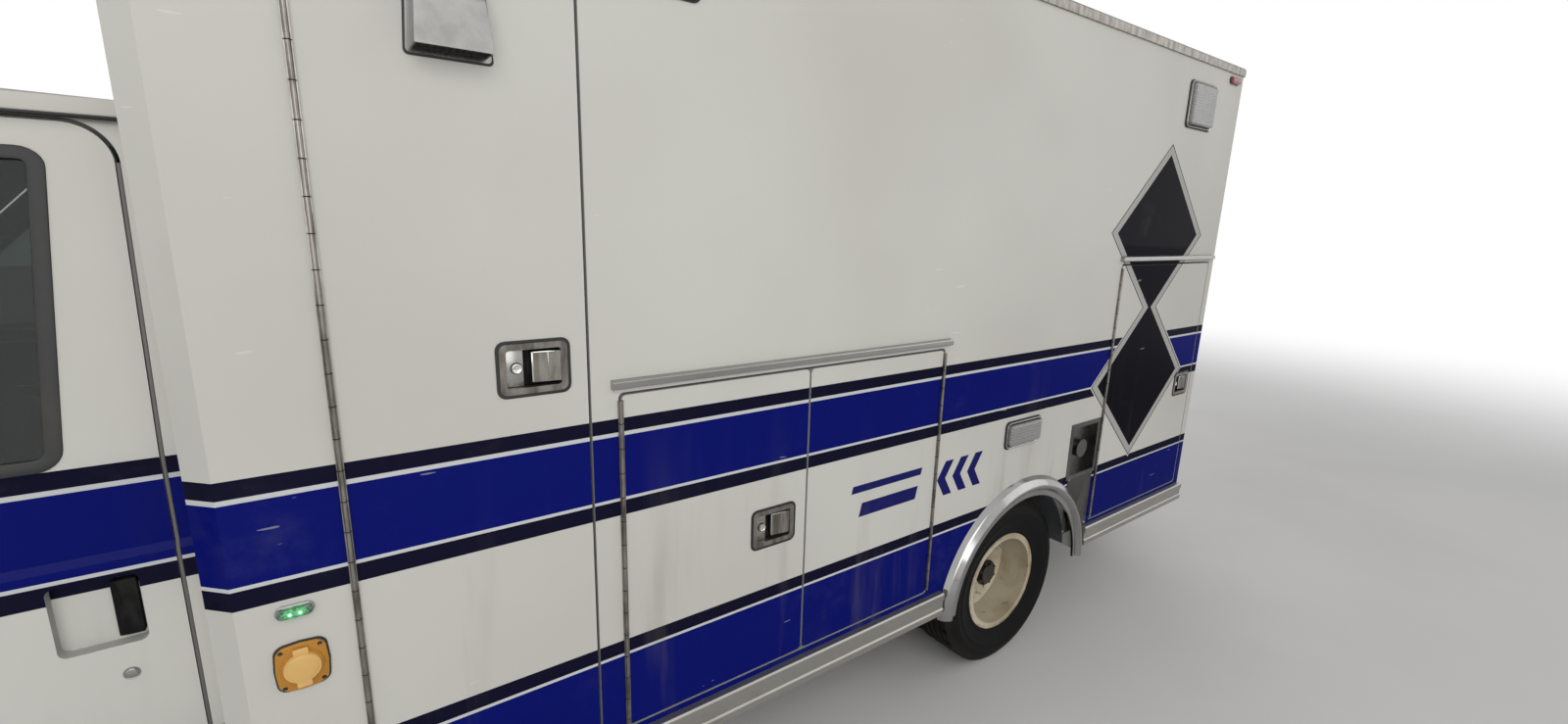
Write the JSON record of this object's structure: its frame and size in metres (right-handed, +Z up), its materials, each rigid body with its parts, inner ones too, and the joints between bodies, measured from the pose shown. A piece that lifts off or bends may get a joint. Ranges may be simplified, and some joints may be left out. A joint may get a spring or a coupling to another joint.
{
  "type": "ambulance",
  "caption": "Box-bodied ambulance on a van cutaway chassis with twin rear wheels; its wheels turn and steer, and its cab, compartment and load doors and hood open.",
  "frame": {"origin": "on the floor under the middle of the vehicle's bounding box", "axes": "+X to the front of the vehicle, +Y to its left, +Z up"},
  "size_m": [6.55, 2.6, 2.7],
  "materials": {
    "white_paint": "gloss white body paint",
    "floor_rubber": "grey ribbed floor covering",
    "lining_sheet": "bare sheet lining",
    "cabinet_laminate": "light grey laminate",
    "pad_vinyl": "navy padded vinyl",
    "cab_plastic": "dark grey grained plastic",
    "glass": "dark tinted glass",
    "clear_lens": "clear lamp lens",
    "black_steel": "black chassis paint with rust",
    "engine_iron": "cast metal",
    "exhaust_steel": "heat-stained pipe",
    "tank_plastic": "black moulded tank",
    "tyre": "black rubber",
    "wheel_paint": "cream wheel paint with rust",
    "bumper_chrome": "bright plated steel",
    "tread_aluminium": "weathered bright aluminium",
    "polished_trim": "polished metal trim",
    "red_lens": "red lens",
    "yellow_plastic": "yellow moulding"
  },
  "bodies": {
    "vehicle": {"cab_shell": "white_paint", "front_fenders": "white_paint", "grille_panel": "white_paint", "module_left_wall": "white_paint", "module_right_wall": "white_paint", "module_front_wall": "white_paint", "module_rear_frame": "white_paint", "module_roof": "white_paint", "module_floor": "floor_rubber", "left_compartments": "lining_sheet", "right_compartments": "lining_sheet", "interior_cabinets": "cabinet_laminate", "bench_pads": "pad_vinyl", "cab_seats": "pad_vinyl", "dashboard": "cab_plastic", "windshield": "glass", "headlamps": "clear_lens", "chassis_frame": "black_steel", "front_axle": "black_steel", "rear_axle": "black_steel", "engine_block": "engine_iron", "exhaust": "exhaust_steel", "fuel_tank": "tank_plastic", "front_bumper": "bumper_chrome", "rear_bumper": "tread_aluminium", "rails": "tread_aluminium", "fenderettes": "polished_trim", "fuel_pocket": "polished_trim", "warning_lights": "red_lens", "tail_lamps": "red_lens", "marker_lamps": "red_lens", "shore_inlet": "yellow_plastic"},
    "steer_left_body": {"knuckle_left": "black_steel"},
    "steer_right_body": {"knuckle_right": "black_steel"},
    "tie_rod_body": {"tie_rod": "black_steel"},
    "front_left_wheel": {"front_wheel_left": "wheel_paint", "front_tyre_left": "tyre"},
    "front_right_wheel": {"front_wheel_right": "wheel_paint", "front_tyre_right": "tyre"},
    "rear_left_wheels": {"rear_wheels_left": "wheel_paint", "rear_tyres_left": "tyre"},
    "rear_right_wheels": {"rear_wheels_right": "wheel_paint", "rear_tyres_right": "tyre"},
    "hood_body": {"hood": "white_paint"},
    "cab_left_door": {"cab_door_left": "white_paint", "cab_door_glass_left": "glass"},
    "cab_right_door": {"cab_door_right": "white_paint", "cab_door_glass_right": "glass"},
    "tall_door": {"left_front_door": "white_paint", "vent_hood": "polished_trim"},
    "pair_front_door": {"left_mid_door_front": "white_paint"},
    "pair_rear_door": {"left_mid_door_rear": "white_paint"},
    "left_rear_hatch": {"left_rear_door": "white_paint"},
    "entry_door": {"right_entry_door": "white_paint", "right_entry_glass": "glass"},
    "right_rear_hatch": {"right_rear_door": "white_paint"},
    "back_left_door": {"rear_door_left": "white_paint", "rear_glass_left": "glass"},
    "back_right_door": {"rear_door_right": "white_paint", "rear_glass_right": "glass"}
  },
  "joints": [
    {"name": "steer_left", "type": "hinge", "parent": "vehicle", "child": "steer_left_body", "pos_m": [2.528, 0.79, 0.371], "axis": [0, 0, 1], "range_deg": [-30, 30]},
    {"name": "steer_right", "type": "hinge", "parent": "vehicle", "child": "steer_right_body", "pos_m": [2.528, -0.79, 0.371], "axis": [0, 0, 1], "range_deg": [-30, 30]},
    {"name": "tie_rod_swing", "type": "hinge", "parent": "steer_left_body", "child": "tie_rod_body", "pos_m": [2.408, 0.79, 0.305], "axis": [0, 0, 1], "range_deg": [-30, 30]},
    {"name": "front_spin_left", "type": "hinge", "parent": "steer_left_body", "child": "front_left_wheel", "pos_m": [2.528, 0.86, 0.371], "axis": [0, 1, 0], "continuous": true},
    {"name": "front_spin_right", "type": "hinge", "parent": "steer_right_body", "child": "front_right_wheel", "pos_m": [2.528, -0.86, 0.371], "axis": [0, 1, 0], "continuous": true},
    {"name": "rear_spin_left", "type": "hinge", "parent": "vehicle", "child": "rear_left_wheels", "pos_m": [-1.485, 0.9335, 0.371], "axis": [0, 1, 0], "continuous": true},
    {"name": "rear_spin_right", "type": "hinge", "parent": "vehicle", "child": "rear_right_wheels", "pos_m": [-1.485, -0.9335, 0.371], "axis": [0, 1, 0], "continuous": true},
    {"name": "hood_lift", "type": "hinge", "parent": "vehicle", "child": "hood_body", "pos_m": [2.342, 0, 1.37], "axis": [0, -1, 0], "range_deg": [0, 50]},
    {"name": "cab_door_left_swing", "type": "hinge", "parent": "vehicle", "child": "cab_left_door", "pos_m": [2.064, 1.0145, 1.2], "axis": [0, 0, -1], "range_deg": [0, 70]},
    {"name": "cab_door_right_swing", "type": "hinge", "parent": "vehicle", "child": "cab_right_door", "pos_m": [2.064, -1.0145, 1.2], "axis": [0, 0, 1], "range_deg": [0, 70]},
    {"name": "tall_door_swing", "type": "hinge", "parent": "vehicle", "child": "tall_door", "pos_m": [0.854, 1.225, 1.5], "axis": [0, 0, -1], "range_deg": [0, 105]},
    {"name": "pair_front_swing", "type": "hinge", "parent": "vehicle", "child": "pair_front_door", "pos_m": [0.285, 1.225, 1], "axis": [0, 0, -1], "range_deg": [0, 105]},
    {"name": "pair_rear_swing", "type": "hinge", "parent": "vehicle", "child": "pair_rear_door", "pos_m": [-0.9, 1.225, 1], "axis": [0, 0, 1], "range_deg": [0, 105]},
    {"name": "left_rear_swing", "type": "hinge", "parent": "vehicle", "child": "left_rear_hatch", "pos_m": [-2.045, 1.225, 1.1], "axis": [0, 0, -1], "range_deg": [0, 105]},
    {"name": "entry_swing", "type": "hinge", "parent": "vehicle", "child": "entry_door", "pos_m": [0.91, -1.225, 1.4], "axis": [0, 0, 1], "range_deg": [0, 105]},
    {"name": "right_rear_swing", "type": "hinge", "parent": "vehicle", "child": "right_rear_hatch", "pos_m": [-2.045, -1.225, 1.1], "axis": [0, 0, 1], "range_deg": [0, 105]},
    {"name": "back_left_swing", "type": "hinge", "parent": "vehicle", "child": "back_left_door", "pos_m": [-3.031, 0.6, 1.6], "axis": [0, 0, -1], "range_deg": [0, 150]},
    {"name": "back_right_swing", "type": "hinge", "parent": "vehicle", "child": "back_right_door", "pos_m": [-3.031, -0.6, 1.6], "axis": [0, 0, 1], "range_deg": [0, 150]}
  ],
  "couplings": [
    {"joint": "steer_right", "follows": "steer_left", "ratio": 1},
    {"joint": "tie_rod_swing", "follows": "steer_left", "ratio": -1}
  ]
}
